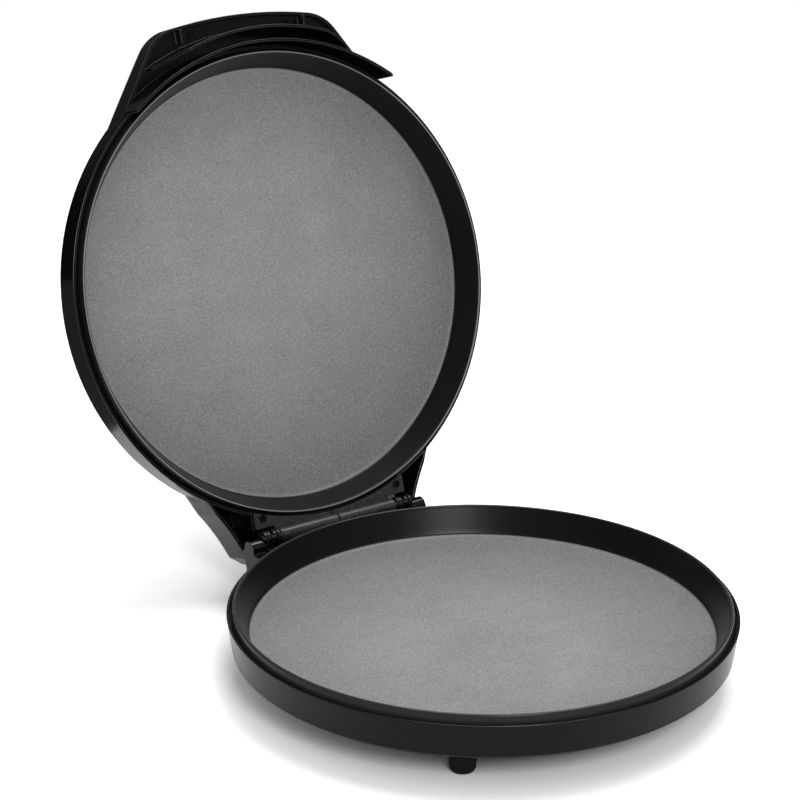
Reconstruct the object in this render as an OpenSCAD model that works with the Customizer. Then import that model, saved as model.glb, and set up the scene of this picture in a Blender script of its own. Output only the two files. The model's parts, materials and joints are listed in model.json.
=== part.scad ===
// Electric pizza maker: two round non-stick pans in gloss black casings, joined by a long barrel hinge.
// Millimetres, +Z up. The lid is drawn open, leaning back on its stop.
// Each half is drawn from the plane of its pan's lip: the third coordinate is the depth behind that plane.

/* [Pans] */
// Outer radius of the raised lip of each pan
lip_r = 160; // [130:1:190]
// Width of the lip bead
lip_w = 2.5; // [2:0.1:4]
// How far the pan wall leans out over its height
pan_flare = 7; // [4:0.5:10]
// Radius of the round between floor and wall
floor_round = 2; // [1:0.1:4]
// Depth of each pan
pan_depth = 20; // [14:0.5:26]
// Thickness of the pan sheet
pan_t = 1.6; // [1:0.1:2]
// Height of the skirt that hangs outside the lip
skirt_h = 8.3; // [6:0.1:10]
// How much the skirt widens toward its edge
skirt_flare = 1.4; // [0.6:0.1:2]
// How far inside the lip the three studs stand
stud_in = 27; // [25:0.5:32]
// Radius of a stud
stud_r = 3.5; // [3:0.1:4.5]

/* [Casings] */
// How far the casing rim lies below the pan lip
rim_drop = 5.2; // [3:0.1:7]
// Width of the groove between skirt and casing rim
groove = 0.9; // [0.5:0.1:1.5]
// Width of the casing rim
rim_w = 1.7; // [0.8:0.1:2.2]
// Wall thickness of the casings
wall = 2; // [1.6:0.1:2.6]
// Gap between the pan wall and the ledge that carries the pan
ledge_gap = 0.3; // [0.2:0.1:0.8]
// Inward lean of the side wall over the depth of the casing
side_lean = 3.9; // [1:0.1:6]
// Depth of each casing behind the lip plane
casing_depth = 34; // [31:0.5:40]
// Radius of the curve from the underside to the side wall
shoulder_r = 27; // [20:0.5:34]
// How far inside the rim that curve starts
shoulder_in = 21.7; // [16:0.1:24]
// Height of the base lip over the surface it stands on
lip_height = 50; // [44:0.5:60]
// How far inside the lip the opening in the underside ends
access_in = 42; // [38:1:60]

/* [Lid] */
// Gap between the two pan lips when closed
lip_gap = 3; // [1:0.1:5]
// Depth of the lid's top at its centre
dome_depth = 44; // [42:0.5:50]
// How far the lid's top slopes down toward the handle, in degrees
lid_tilt = 1; // [0:0.1:1.5]
// Inward lean of the lid's side wall over the depth of the base
lid_lean = 1.6; // [1:0.1:4]
// Radius of the curve from the lid's top to its side wall
lid_shoulder_r = 24; // [20:0.5:27]
// How far inside the rim that curve starts
lid_shoulder_in = 17.8; // [16:0.1:22]
// How far the domed top falls from its centre to the handle's edge
dome_fall = 16; // [10:0.5:18]

/* [Handle] */
// How far the handle reaches past the pan lip
handle_out = 27; // [25:0.1:34]
// Radius of the handle's front edge
handle_front_r = 330; // [250:1:500]
// Half width of the handle at its corners
handle_corner_x = 68.3; // [60:0.1:80]
// Radius of the handle's corners
handle_corner_r = 30; // [16:0.5:34]
// Half width where the handle leaves the lid
handle_root_x = 101.7; // [98:0.1:112]
// Depth of the handle's rim
handle_rim = 11; // [8:0.1:12]
// Gap between the liner and the walls of the handle
liner_gap = 0.3; // [0.2:0.1:0.8]
// Wall thickness of the liner
liner_t = 1.6; // [1.2:0.1:2]
// Share of the handle's reach at which the liner's outer wall stands
tier_share = 0.53; // [0.45:0.01:0.58]
// Reach of the liner's outer wall past the lip plane
tier_reach = 13; // [8:0.5:15]
// Half width over which that wall keeps its full reach
tier_flat_x = 56; // [40:1:60]
// Half width of that wall
tier_x = 78; // [70:0.5:84]
// Depth at which that wall ends at its sides
tier_side_depth = 4; // [0:0.5:8]
// Reach of the skirt that laps over the base rim
skirt_reach = 12; // [8:0.5:13]
// Half width of that skirt
skirt_x = 102.3; // [90:0.5:106]
// Clearance of that skirt over the base rim
skirt_gap = 0.9; // [0.6:0.1:2]
// Depth of the liner's floor
liner_floor = 15; // [12:0.5:17]

/* [Wings] */
// How far the lid's rear wall lies behind the pan lip
wing_out = 28; // [26:0.5:32]
// Radius of the hollow curve along each wing
wing_hollow_r = 137; // [110:1:160]
// How deep that curve bites into the round casing
wing_bite = 1; // [0.5:0.1:4]
// Half width of the lid's rear wall
wing_rear_x = 61; // [50:0.5:64]
// Length of the bevel beside the rear wall
wing_bevel = 8; // [4:0.5:10]

/* [Hinge] */
// Distance of the hinge axis behind the pan lip
hinge_out = 8.5; // [8:0.1:11]
// Depth of the hinge axis below the base lip
hinge_drop = 3.2; // [2:0.1:4]
// Angle between the open and the closed lid
open_angle = 106.5; // [90:0.5:108]
// Radius of the hinge barrels
barrel_r = 4.5; // [4:0.1:4.6]
// Gap between the two barrels
barrel_gap = 1.2; // [0.6:0.1:4]
// Half length of the barrel pair
barrel_end = 47.3; // [40:0.1:48]
// Radius of the hinge pins
pin_r = 2.5; // [2:0.1:3]
// Clearance of the barrels on the pins
pin_clear = 0.05; // [0.02:0.01:0.1]
// Distance from the middle to the inner end of each pin
pin_start = 8; // [4:0.5:14]
// Radius of the bracket ears
ear_r = 5.2; // [4.8:0.1:5.6]
// Thickness of the hinge sheet
leaf_t = 2; // [1.5:0.1:2.2]
// Distance from the middle to the first ear
ear_x = 49; // [48.5:0.1:50]
// Outside width of a bracket
bracket_w = 12; // [10:0.1:12.5]
// Half length of the hinge plates
leaf_x = 61.8; // [60:0.1:62]
// Distance from the middle to the hinge plate screw
leaf_screw_x = 55.8; // [52:0.1:57]
// Distance of that screw from the plate's curved edge
leaf_screw_in = 2.7; // [2.6:0.1:4]
// Distance from the middle to the inner side of a tower
tower_x = 62; // [61.8:0.1:64]
// Width of a tower
tower_w = 10; // [8:0.5:11]
// Radius of a tower's rounded top
tower_r = 6; // [5:0.5:7]

/* [Heating] */
// Radius of the heating ring
ring_r = 95; // [70:1:105]
// Diameter of the heating tube
tube_d = 6.5; // [5:0.1:7]
// Thickness of the reflector sheet
reflector_t = 0.6; // [0.5:0.1:1]
// How far inside the lip the reflector ends
reflector_in = 22; // [21.5:0.5:24]
// Height of the reflector's edge
reflector_edge = 4; // [2:0.5:6]
// Radius of the thermostat
thermostat_r = 9; // [6:0.5:14]
// Length of the thermal fuse
fuse_l = 12; // [8:0.5:16]
// Radius of the thermal fuse
fuse_r = 2; // [1.5:0.1:3]
// Width of the terminal block
terminal_w = 30; // [24:1:40]
// Length of the terminal block
terminal_l = 11; // [8:0.5:14]
// Height of the terminal block
terminal_h = 9; // [7:0.5:11]

/* [Underside] */
// Radius of a foot
foot_r = 8.8; // [6:0.1:9.2]
// How far inside the lip the front feet stand
foot_in = 26; // [24:0.5:32]
// Angle of the front feet from the front
foot_angle = 41.8; // [30:0.1:60]
// Half distance between the rear feet
rear_foot_x = 60; // [40:0.5:64]
// Distance of the rear feet from the base's rear wall
rear_foot_in = 12.1; // [9:0.1:20]
// Thickness of the bottom cover
cover_t = 1.5; // [1:0.1:2.5]
// Number of vents in the bottom cover
vent_count = 16; // [6:1:24]
// Length of a vent
vent_l = 18; // [10:1:30]
// Width of a vent
vent_w = 3; // [2:0.1:5]
// Radius of the screws
screw_r = 1.6; // [1.2:0.1:2]
// Radius of their heads
screw_head_r = 2.6; // [2.2:0.1:3]
// Height of their heads
screw_head_h = 1.2; // [0.8:0.1:1.6]
// How deep a screw goes into its boss
screw_bite = 4.5; // [3:0.5:6]
// Radius of the bore in the cord bush
cord_r = 3.6; // [3:0.1:4]
// Radius of the cord bush
gland_r = 5.6; // [5:0.1:6]
// Length of the cord bush
gland_l = 11.5; // [10:0.5:14]
// Thickness of its flange
gland_flange = 2.5; // [1.5:0.1:4]

/* [Lamps] */
// Radius of a pilot lamp
lamp_r = 3; // [2:0.1:4]
// Distance between the lamps
lamp_pitch = 24; // [14:1:40]
// Thickness of the plate behind the lamps
lamp_plate_t = 2.8; // [2:0.1:4]

/* [Hidden] */
$fn = 128;

black = [0.05, 0.05, 0.055];
coating = [0.16, 0.16, 0.17];
eps = 0.1;
through = 100;
seat_gap = 0.05;

floor_r = lip_r - lip_w - pan_flare;
handle_reach = lip_r + handle_out;
dome_r = (pow(handle_reach, 2) + pow(dome_fall, 2)) / 2 / dome_fall;
casing_r = lip_r + skirt_flare + groove + rim_w;
groove_r = casing_r - rim_w;
access_r = lip_r - access_in;
lean_rate = side_lean / (casing_depth - rim_drop);
bead_r = lip_w / 2;
wall_lean = atan(pan_flare / (pan_depth - floor_round - bead_r));
pan_wall_x = pan_t / cos(wall_lean);
ledge_r = pan_inside(skirt_h) + pan_wall_x + ledge_gap;
shoulder_x = casing_r - shoulder_in;
lid_shoulder_x = casing_r - lid_shoulder_in;
lid_shoulder_z = dome_at(lid_shoulder_x, lid_shoulder_r) + 0.3;
lid_lean_rate = lid_lean / (casing_depth - rim_drop);
tilt_room = 5;
cap_drop = 0.8;

reflector_r = lip_r - reflector_in;
reflector_z = casing_depth - wall - 1.8;
lid_reflector_z = dome_at(reflector_r, wall) - reflector_r * sin(lid_tilt) - reflector_t - 0.1;
tube_r = tube_d / 2;
tube_z = pan_depth + pan_t + seat_gap + tube_r;
stud_angles = [90, 210, 330];
stud_ring = lip_r - stud_in;
element_gap = 34;
fuse_x = ring_r * 0.34;
fuse_y = ring_r * 0.42;
lid_stud_end = lid_reflector_z + reflector_t + 1.4;

hinge_back = lip_r + hinge_out;
axis_h = -(lip_gap + hinge_drop);
leaf_face = axis_h + barrel_r - 0.1;
leaf_back = leaf_face + leaf_t;
leaf_r = lip_r + skirt_flare + groove;
leaf_rear = hinge_back - ear_r - 1.4;
leaf_screw_y = sqrt(pow(leaf_r, 2) - pow(leaf_screw_x, 2)) + leaf_screw_in;
pad_rear = hinge_back + 1;
block_top = hinge_drop + barrel_r + 2.5;
block_rear = hinge_back + 3.6;
block_top_rear = hinge_back + 8;
block_front = lip_r - 30;
tower_end = tower_x + tower_w;
pin_end = ear_x + bracket_w + 0.5;
ear_bore = pin_r + pin_clear;
bracket_t = leaf_t * 0.8;
bracket_mid = ear_x + bracket_w / 2;
bracket_screw_y = hinge_back - 7;
gland_angle = 52;
gland_z = 20;
gland_face = casing_r + 0.7;
cover_screw_r = access_r + 5;
cover_r = cover_screw_r + 6;
vent_ring = access_r * 0.41;
foot_h = lip_height - casing_depth;
foot_taper = 0.9;
foot_round = 2.6;
foot_ring = lip_r - foot_in;
rear_foot_y = block_rear - rear_foot_in;
lamp_y = -(lid_shoulder_x + 3.5);
lamp_top = lid_shoulder_z + lid_shoulder_r + lamp_y * sin(lid_tilt) + 0.6;
lamp_seat = pan_depth + pan_t + lamp_plate_t + 0.5;

tier_r = lip_r + handle_out * tier_share;
root_y = -sqrt(pow(casing_r, 2) - pow(handle_root_x, 2));
front_centre = [0, handle_front_r - handle_reach];
corner_y = front_centre[1] - sqrt(pow(handle_front_r, 2) - pow(handle_corner_x, 2));
flank = [handle_root_x - handle_corner_x, root_y - corner_y];
along = flank / norm(flank);
outward = [along[1], -along[0]];
corner_start = [handle_root_x, root_y] - handle_corner_r * outward - front_centre;
corner_back = corner_start * along;
corner_slide = -corner_back
    - sqrt(pow(corner_back, 2) - corner_start * corner_start + pow(handle_front_r - handle_corner_r, 2));
corner_at = corner_start + corner_slide * along + front_centre;
handle_bury = 24;
front_bury = 60;
arc_steps = 6;
liner_from = lip_r - 60;
liner_rib_x = handle_corner_x * 0.72;
liner_rib_z = handle_rim - 3;
liner_rib_l = handle_out * 0.35;
liner_screw_x = handle_corner_x * 0.56;
liner_screw_y = (front_at(liner_screw_x) + wall - sqrt(pow(tier_r + liner_t, 2) - pow(liner_screw_x, 2))) / 2;
liner_boss_top = dome_at(norm([liner_screw_x, liner_screw_y]), cap_drop + wall)
    + liner_screw_y * sin(lid_tilt) + wall / 2;

wing_reach = lip_r + wing_out;
wing_corner = [wing_rear_x + 9.1, wing_reach - wing_bevel];
wing_hollow_reach = casing_r + wing_hollow_r - wing_bite;
wing_hollow_along = (pow(wing_hollow_reach, 2) - pow(wing_hollow_r, 2) + wing_corner * wing_corner)
    / 2 / norm(wing_corner);
wing_hollow_aside = sqrt(pow(wing_hollow_reach, 2) - pow(wing_hollow_along, 2));
wing_hollow_at = (wing_corner * wing_hollow_along + [wing_corner[1], -wing_corner[0]] * wing_hollow_aside)
    / norm(wing_corner);
wing_front_x = lip_r - 60;
wing_front_y = lip_r - 42;
pad_hollow_y = lip_r - 14;
pad_hollow_h = 12;

// The open handle's top edge is the rearmost point, and the base's front is the foremost
dome_reach = dome_depth - dome_r - rim_drop;
handle_edge = rim_drop + dome_reach * cos(lid_tilt)
    + sqrt(pow(dome_r - cap_drop, 2) - pow(handle_reach - dome_reach * sin(lid_tilt), 2));
rear_reach = hinge_back - (handle_reach + hinge_back) * cos(open_angle)
    + (handle_edge - axis_h) * sin(open_angle);
base_y = -(rear_reach - casing_r) / 2;

// ---- placement ----

module at_base() {
    translate([0, base_y, lip_height]) mirror([0, 0, 1]) children();
}

module at_lid() {
    translate([0, base_y + hinge_back, lip_height - hinge_drop]) rotate([-open_angle, 0, 0])
        translate([0, -hinge_back, -axis_h]) children();
}

module both_sides() {
    children();
    mirror([1, 0, 0]) children();
}

module along_x(from, to, r, y, z) {
    translate([from, y, z]) rotate([0, 90, 0]) cylinder(h = to - from, r = r);
}

module ring_of(angles, r) {
    for (a = angles) rotate([0, 0, a]) translate([r, 0, 0]) children();
}

module screw(length) {
    cylinder(h = length, r = screw_r);
    difference() {
        translate([0, 0, -screw_head_h]) cylinder(h = screw_head_h, r = screw_head_r);
        for (turn = [0, 90]) rotate([0, 0, turn])
            translate([-screw_head_r * 0.6, -screw_head_r * 0.14, -screw_head_h - eps])
                cube([screw_head_r * 1.2, screw_head_r * 0.28, screw_head_h * 0.6]);
    }
}

// ---- pans ----

function pan_inside(z) = floor_r + (pan_depth - floor_round - z) * tan(wall_lean);

module pan_sheet() {
    polygon([
        [0, pan_depth], [floor_r - floor_round, pan_depth],
        [floor_r - floor_round * 0.3, pan_depth - floor_round * 0.3],
        [floor_r, pan_depth - floor_round], [pan_inside(bead_r), bead_r],
        [pan_inside(bead_r) + pan_wall_x, bead_r], [floor_r + pan_wall_x, pan_depth - floor_round],
        [floor_r + pan_wall_x - floor_round * 0.5, pan_depth + pan_t * 0.5],
        [floor_r - floor_round * 0.5, pan_depth + pan_t], [0, pan_depth + pan_t]
    ]);
    translate([lip_r - bead_r, bead_r]) circle(r = bead_r);
    polygon([
        [lip_r - bead_r, bead_r], [lip_r - 0.05, bead_r], [lip_r + skirt_flare, skirt_h],
        [lip_r + skirt_flare - pan_t, skirt_h], [lip_r - pan_t * 0.7, bead_r + 1.2]
    ]);
}

module pan() {
    color(coating) rotate_extrude() pan_sheet();
}

// ---- casings ----

module casing_profile(inset) {
    intersection() {
        polygon([[0, rim_drop], [casing_r - inset, rim_drop],
            [casing_r - inset - side_lean, casing_depth], [0, casing_depth]]);
        union() {
            square([shoulder_x, casing_depth - inset]);
            translate([shoulder_x, casing_depth - shoulder_r]) circle(r = shoulder_r - inset);
        }
    }
}

module lid_profile(inset) {
    intersection() {
        polygon([[0, rim_drop - tilt_room],
            [casing_r - inset + lid_lean_rate * tilt_room, rim_drop - tilt_room],
            [casing_r - inset - lid_lean, casing_depth],
            [casing_r - inset - lid_lean, dome_depth], [0, dome_depth]]);
        union() {
            square([lid_shoulder_x, dome_depth]);
            translate([lid_shoulder_x, lid_shoulder_z]) circle(r = lid_shoulder_r - inset);
        }
        translate([0, dome_depth - dome_r]) circle(r = dome_r - inset, $fn = 1440);
    }
}

// The lid's top and sides are turned about an axis that leans back a little
module tilted() {
    translate([0, 0, rim_drop]) rotate([lid_tilt, 0, 0]) translate([0, 0, -rim_drop]) children();
}

// Room for the pan, the ledge that carries it and the room behind the ledge
module casing_room(deep) {
    rotate_extrude() square([groove_r, skirt_h]);
    cylinder(h = skirt_h + wall + eps, r = ledge_r);
    intersection() {
        if (deep) tilted() rotate_extrude() lid_profile(wall);
        else rotate_extrude() casing_profile(wall);
        translate([0, 0, skirt_h + wall]) cylinder(h = through, r = casing_r + tilt_room);
    }
}

module hinge_block() {
    rotate([90, 0, 90]) translate([0, 0, -tower_end]) linear_extrude(2 * tower_end) polygon([
        [block_front, block_top], [block_top_rear, block_top], [block_top_rear, block_top + 2],
        [block_rear, hinge_drop + 20], [block_rear, casing_depth], [block_front, casing_depth]
    ]);
    both_sides() {
        along_x(tower_x, tower_end, tower_r, hinge_back, hinge_drop + tower_r - 0.8);
        translate([tower_x, hinge_back - tower_r, hinge_drop + tower_r - 0.8])
            cube([tower_w, 2 * tower_r, block_top - hinge_drop]);
    }
}

module base_shell() {
    color(black) at_base() {
        difference() {
            union() {
                rotate_extrude() casing_profile(0);
                hinge_block();
                rotate([0, 0, gland_angle]) translate([casing_r - 12, 0, gland_z]) rotate([0, 90, 0])
                    cylinder(h = gland_face - casing_r + 12, r = gland_r + 3);
            }
            casing_room(false);
            translate([-tower_x + wall, block_front + eps, block_top + wall]) cube([2 * (tower_x - wall),
                block_rear - wall - block_front, casing_depth - wall - block_top - wall]);
            translate([0, 0, casing_depth - wall - eps]) cylinder(h = wall + 2 * eps, r = access_r);
            rotate([0, 0, gland_angle]) translate([casing_r - 16, 0, gland_z]) rotate([0, 90, 0])
                cylinder(h = through, r = gland_r);
            ring_of(stud_angles, stud_ring) translate([0, 0, reflector_z])
                cylinder(h = through, r = screw_r + 0.2);
            foot_places() translate([0, 0, casing_depth - wall + 0.5]) cylinder(h = wall, r = foot_r / 2);
            cover_screw_places() cylinder(h = 4 * wall, r = screw_r, center = true);
            both_sides() translate([bracket_mid, bracket_screw_y, block_top - eps])
                cylinder(h = wall, r = screw_r);
        }
        difference() {
            ring_of(stud_angles, stud_ring) translate([0, 0, reflector_z + reflector_t])
                cylinder(h = casing_depth - wall / 2 - reflector_z - reflector_t, r = stud_r + 3);
            ring_of(stud_angles, stud_ring) cylinder(h = through, r = screw_r + 0.2);
        }
    }
}

module foot_places() {
    both_sides() rotate([0, 0, foot_angle]) translate([0, -foot_ring, 0]) children();
    both_sides() translate([rear_foot_x, rear_foot_y, 0]) children();
}

module cover_screw_places() {
    ring_of([45, 135, 225, 315], cover_screw_r) translate([0, 0, casing_depth]) children();
}

module bottom_cover() {
    color([0.1, 0.1, 0.1]) at_base() difference() {
        union() {
            translate([0, 0, casing_depth]) cylinder(h = cover_t, r = cover_r);
            translate([0, 0, casing_depth - wall]) cylinder(h = wall, r = access_r - 0.3);
        }
        translate([0, 0, casing_depth - wall - eps]) cylinder(h = wall + eps, r = access_r - 0.3 - wall);
        ring_of([for (i = [0:vent_count - 1]) (i + 0.5) * 360 / vent_count], vent_ring)
            translate([-vent_l / 2, -vent_w / 2, casing_depth - eps])
                cube([vent_l, vent_w, cover_t + 2 * eps]);
        cover_screw_places() cylinder(h = 4 * wall, r = screw_r + 0.2, center = true);
        foot_places() cylinder(h = through, r = foot_r + 1);
    }
}

module bottom_cover_screws() {
    color("dimgray") at_base() cover_screw_places() translate([0, 0, cover_t]) mirror([0, 0, 1])
        screw(cover_t + wall * 0.8);
}

module foot(side, front) {
    color(black) at_base() mirror([side > 0 ? 0 : 1, 0, 0])
        translate(front ? [foot_ring * sin(foot_angle), -foot_ring * cos(foot_angle), casing_depth]
                : [rear_foot_x, rear_foot_y, casing_depth]) {
            rotate_extrude() intersection() {
                polygon([[0, 0], [foot_r, 0], [foot_r - foot_taper, foot_h], [0, foot_h]]);
                union() {
                    square([foot_r, foot_h - foot_round]);
                    translate([foot_r - foot_taper - foot_round, foot_h - foot_round]) circle(r = foot_round);
                    square([foot_r - foot_taper - foot_round, foot_h]);
                }
            }
            translate([0, 0, 0.5 - wall]) cylinder(h = wall, r = foot_r / 2);
        }
}

module lower_pan() {
    at_base() {
        pan();
        color(coating) difference() {
            ring_of(stud_angles, stud_ring) translate([0, 0, pan_depth + pan_t / 2])
                cylinder(h = reflector_z + reflector_t - pan_depth - pan_t / 2, r = stud_r);
            ring_of(stud_angles, stud_ring) translate([0, 0, pan_depth + pan_t * 1.6])
                cylinder(h = through, r = screw_r);
        }
    }
}

module lower_pan_screws() {
    color("dimgray") at_base() ring_of(stud_angles, stud_ring) translate([0, 0, casing_depth])
        mirror([0, 0, 1]) screw(casing_depth - pan_depth - pan_t * 2);
}

// ---- heating ----

module element() {
    color([0.3, 0.28, 0.27]) {
        rotate([0, 0, 270 + element_gap / 2]) rotate_extrude(angle = 360 - element_gap)
            translate([ring_r, tube_z]) circle(r = tube_r);
        both_sides() rotate([0, 0, 270 + element_gap / 2]) translate([ring_r, 0, tube_z]) rotate([90, 0, 0]) {
            translate([0, 0, -tube_r * 0.3]) cylinder(h = tube_d * 1.2, r = tube_r * 0.85);
            cylinder(h = tube_d * 2.1, r = tube_r * 0.4);
        }
    }
}

module reflector(z) {
    color("silver") {
        difference() {
            union() {
                translate([0, 0, z]) cylinder(h = reflector_t, r = reflector_r);
                translate([0, 0, z - reflector_edge]) cylinder(h = reflector_edge + eps, r = reflector_r);
            }
            translate([0, 0, z - reflector_edge - eps])
                cylinder(h = reflector_edge + eps, r = reflector_r - reflector_t);
            ring_of(stud_angles, stud_ring) cylinder(h = through, r = stud_r + 0.2);
        }
        ring_of([30, 150, 240, 300], ring_r) translate([0, 0, tube_z + tube_r * 0.8])
            difference() {
                translate([-tube_d * 0.6, -tube_d * 0.8, 0])
                    cube([tube_d * 1.2, tube_d * 1.6, z - tube_z - tube_r * 0.8 + eps]);
                translate([0, 0, -tube_r * 0.8]) rotate([90, 0, 0])
                    cylinder(h = tube_d * 2, r = tube_r + seat_gap, center = true);
            }
    }
}

module lower_element() {
    at_base() element();
}

module lower_reflector() {
    at_base() reflector(reflector_z);
}

module thermostat() {
    color("silver") at_base() {
        translate([0, 0, pan_depth + pan_t + seat_gap])
            cylinder(h = reflector_z - pan_depth - pan_t - seat_gap, r = thermostat_r);
        for (side = [-1, 1]) translate([side * thermostat_r * 1.3, 0, reflector_z - thermostat_r * 0.28])
            cube(thermostat_r * [0.9, 0.55, 0.56], center = true);
    }
}

module thermal_fuse() {
    color("tan") at_base() translate([fuse_x, fuse_y, reflector_z - fuse_r * 1.25]) {
        rotate([0, 90, 0]) cylinder(h = fuse_l, r = fuse_r, center = true);
        translate([-fuse_l / 4, -fuse_r * 1.25, 0]) cube([fuse_l / 2, fuse_r * 2.5, fuse_r * 1.25]);
    }
}

module terminal_block() {
    color("ivory") at_base() translate([0, lip_r - 9, casing_depth - wall]) difference() {
        translate([-terminal_w / 2, 0, -terminal_h]) cube([terminal_w, terminal_l, terminal_h]);
        for (x = [-1, 0, 1]) translate([x * terminal_w * 0.3, -eps, -terminal_h / 2]) rotate([-90, 0, 0])
            cylinder(h = terminal_l + 2 * eps, r = screw_r);
    }
}

module cord_gland() {
    color(black) at_base() rotate([0, 0, gland_angle]) translate([gland_face, 0, gland_z]) rotate([0, 90, 0])
        difference() {
            union() {
                cylinder(h = gland_flange, r = gland_r + 2);
                translate([0, 0, gland_flange - gland_l]) cylinder(h = gland_l - eps, r = gland_r);
            }
            translate([0, 0, gland_flange - gland_l - eps]) cylinder(h = gland_l + 2 * eps, r = cord_r);
        }
}

// ---- hinge ----

module hinge_bracket() {
    color([0.35, 0.35, 0.36]) difference() {
        union() {
            for (x = [ear_x, ear_x + bracket_w - leaf_t]) {
                along_x(x, x + leaf_t, ear_r, hinge_back, hinge_drop);
                translate([x, hinge_back - ear_r, hinge_drop])
                    cube([leaf_t, 2 * ear_r, block_top - hinge_drop]);
            }
            translate([ear_x, bracket_screw_y - 4, block_top - bracket_t])
                cube([bracket_w, hinge_back + ear_r - bracket_screw_y + 4, bracket_t]);
        }
        along_x(ear_x - 1, ear_x + bracket_w + 1, ear_bore, hinge_back, hinge_drop);
        translate([bracket_mid, bracket_screw_y, 0]) cylinder(h = through, r = screw_r + 0.1);
    }
}

module hinge_pin() {
    color("silver") along_x(pin_start, pin_end, pin_r, hinge_back, hinge_drop);
}

module bracket_screws() {
    color("dimgray") at_base() both_sides() translate([bracket_mid, bracket_screw_y, block_top - bracket_t])
        screw(bracket_t + wall * 0.8);
}

module leaf_outline(rear) {
    difference() {
        translate([barrel_gap / 2, 0]) square([leaf_x - barrel_gap / 2, rear]);
        circle(r = leaf_r);
        translate([barrel_end, leaf_rear]) square([leaf_x, 40]);
    }
}

module lid_hinge() {
    color([0.4, 0.4, 0.41]) difference() {
        union() {
            translate([0, 0, leaf_face]) linear_extrude(leaf_t) leaf_outline(hinge_back);
            along_x(barrel_gap / 2, barrel_end, barrel_r, hinge_back, axis_h);
            translate([barrel_gap / 2, hinge_back - 3, axis_h + 3])
                cube([barrel_end - barrel_gap / 2, 3.8, leaf_back - axis_h - 3]);
        }
        along_x(pin_start - 0.6, barrel_end + 1, pin_r + pin_clear, hinge_back, axis_h);
        translate([leaf_screw_x, leaf_screw_y, leaf_face - eps])
            cylinder(h = leaf_t + 2 * eps, r = screw_r + 0.1);
    }
}

module lid_hinge_screws() {
    color("dimgray") at_lid() both_sides() translate([leaf_screw_x, leaf_screw_y, leaf_face])
        screw(leaf_t + screw_bite);
}

// ---- lid ----

module dome_cap(inset) {
    tilted() rotate_extrude() intersection() {
        square([lip_r + 100, dome_depth]);
        translate([0, dome_depth - dome_r]) circle(r = dome_r - cap_drop - inset, $fn = 1440);
    }
}

function dome_at(r, inset) = dome_depth - dome_r + sqrt(pow(dome_r - inset, 2) - pow(r, 2));

function arc(centre, r, from, to, steps) =
    [for (i = [0:steps]) let (a = from + (to - from) * i / steps) centre + r * [cos(a), sin(a)]];

function front_at(x) = front_centre[1] - sqrt(pow(handle_front_r, 2) - x * x);

function mirrored(points) = [for (i = [len(points) - 1:-1:0]) [-points[i][0], points[i][1]]];

module handle_outline(inset) {
    root = [handle_root_x, root_y] - outward * inset;
    front = corner_at - front_centre;
    last = atan2(front[1], front[0]) + 6;
    round_part = arc(corner_at, handle_corner_r - inset, atan2(outward[1], outward[0]), last, arc_steps);
    inner = round_part[arc_steps] + front_bury * [sin(last), -cos(last)];
    half = concat([root + handle_bury * along, root], round_part, [inner]);
    polygon(concat([[0, -front_bury]], half, mirrored(half)));
}

module handle_block(inset, from) {
    intersection() {
        translate([0, 0, from]) linear_extrude(through) handle_outline(inset);
        translate(front_centre) cylinder(h = through, r = handle_front_r - inset, $fn = 720);
        dome_cap(inset);
    }
}

module wing_block(inset, from) {
    intersection() {
        difference() {
            translate([0, 0, from]) linear_extrude(through) polygon([
                [inset - wing_front_x, wing_front_y], [wing_front_x - inset, wing_front_y],
                [wing_rear_x + 10, wing_reach - wing_bevel - inset],
                [wing_rear_x - inset * 0.5, wing_reach - inset],
                [-wing_rear_x + inset * 0.5, wing_reach - inset],
                [-wing_rear_x - 10, wing_reach - wing_bevel - inset]
            ]);
            both_sides() translate(wing_hollow_at)
                cylinder(h = through, r = wing_hollow_r + inset, $fn = 360);
        }
        dome_cap(inset);
    }
}

// The raised pad that the hinge plates are screwed to
module hinge_pad() {
    intersection() {
        both_sides() translate([0, 0, leaf_back]) linear_extrude(through) difference() {
            translate([-eps, block_front]) square([leaf_x + eps, pad_rear - block_front]);
            circle(r = leaf_r);
            translate([barrel_end, leaf_rear]) square([leaf_x, 40]);
        }
        dome_cap(wall / 2);
    }
}

module lid_shell() {
    color(black) at_lid() difference() {
        union() {
            difference() {
                union() {
                    intersection() {
                        tilted() rotate_extrude() lid_profile(0);
                        translate([0, 0, rim_drop]) cylinder(h = through, r = casing_r + tilt_room);
                    }
                    handle_block(0, handle_rim);
                    wing_block(0, rim_drop);
                }
                difference() {
                    union() {
                        handle_block(wall, handle_rim - eps);
                        wing_block(wall, rim_drop - eps);
                    }
                    cylinder(h = through, r = casing_r);
                }
            }
            hinge_pad();
            liner_screw_places() translate([0, 0, liner_floor + liner_t])
                cylinder(h = liner_boss_top - liner_floor - liner_t, r = screw_r * 2);
        }
        casing_room(true);
        translate([wall - leaf_x, pad_hollow_y, skirt_h + 5])
            cube([2 * (leaf_x - wall), leaf_rear - wall - pad_hollow_y, pad_hollow_h]);
        both_sides() translate([leaf_screw_x, leaf_screw_y, leaf_back - eps])
            cylinder(h = screw_bite + 1, r = screw_r);
        liner_screw_places() cylinder(h = liner_floor + liner_t + screw_bite, r = screw_r);
        lamp_places() cylinder(h = through, r = lamp_r + 0.1);
    }
    color(black) at_lid() {
        difference() {
            intersection() {
                ring_of(stud_angles, stud_ring) translate([0, 0, lid_reflector_z + reflector_t])
                    cylinder(h = through, r = stud_r * 1.7);
                dome_cap(wall / 2);
            }
            ring_of(stud_angles, stud_ring) cylinder(h = lid_stud_end, r = stud_r);
        }
        lamp_posts();
    }
}

module liner_screw_places() {
    both_sides() translate([liner_screw_x, liner_screw_y, 0]) children();
}

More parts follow.
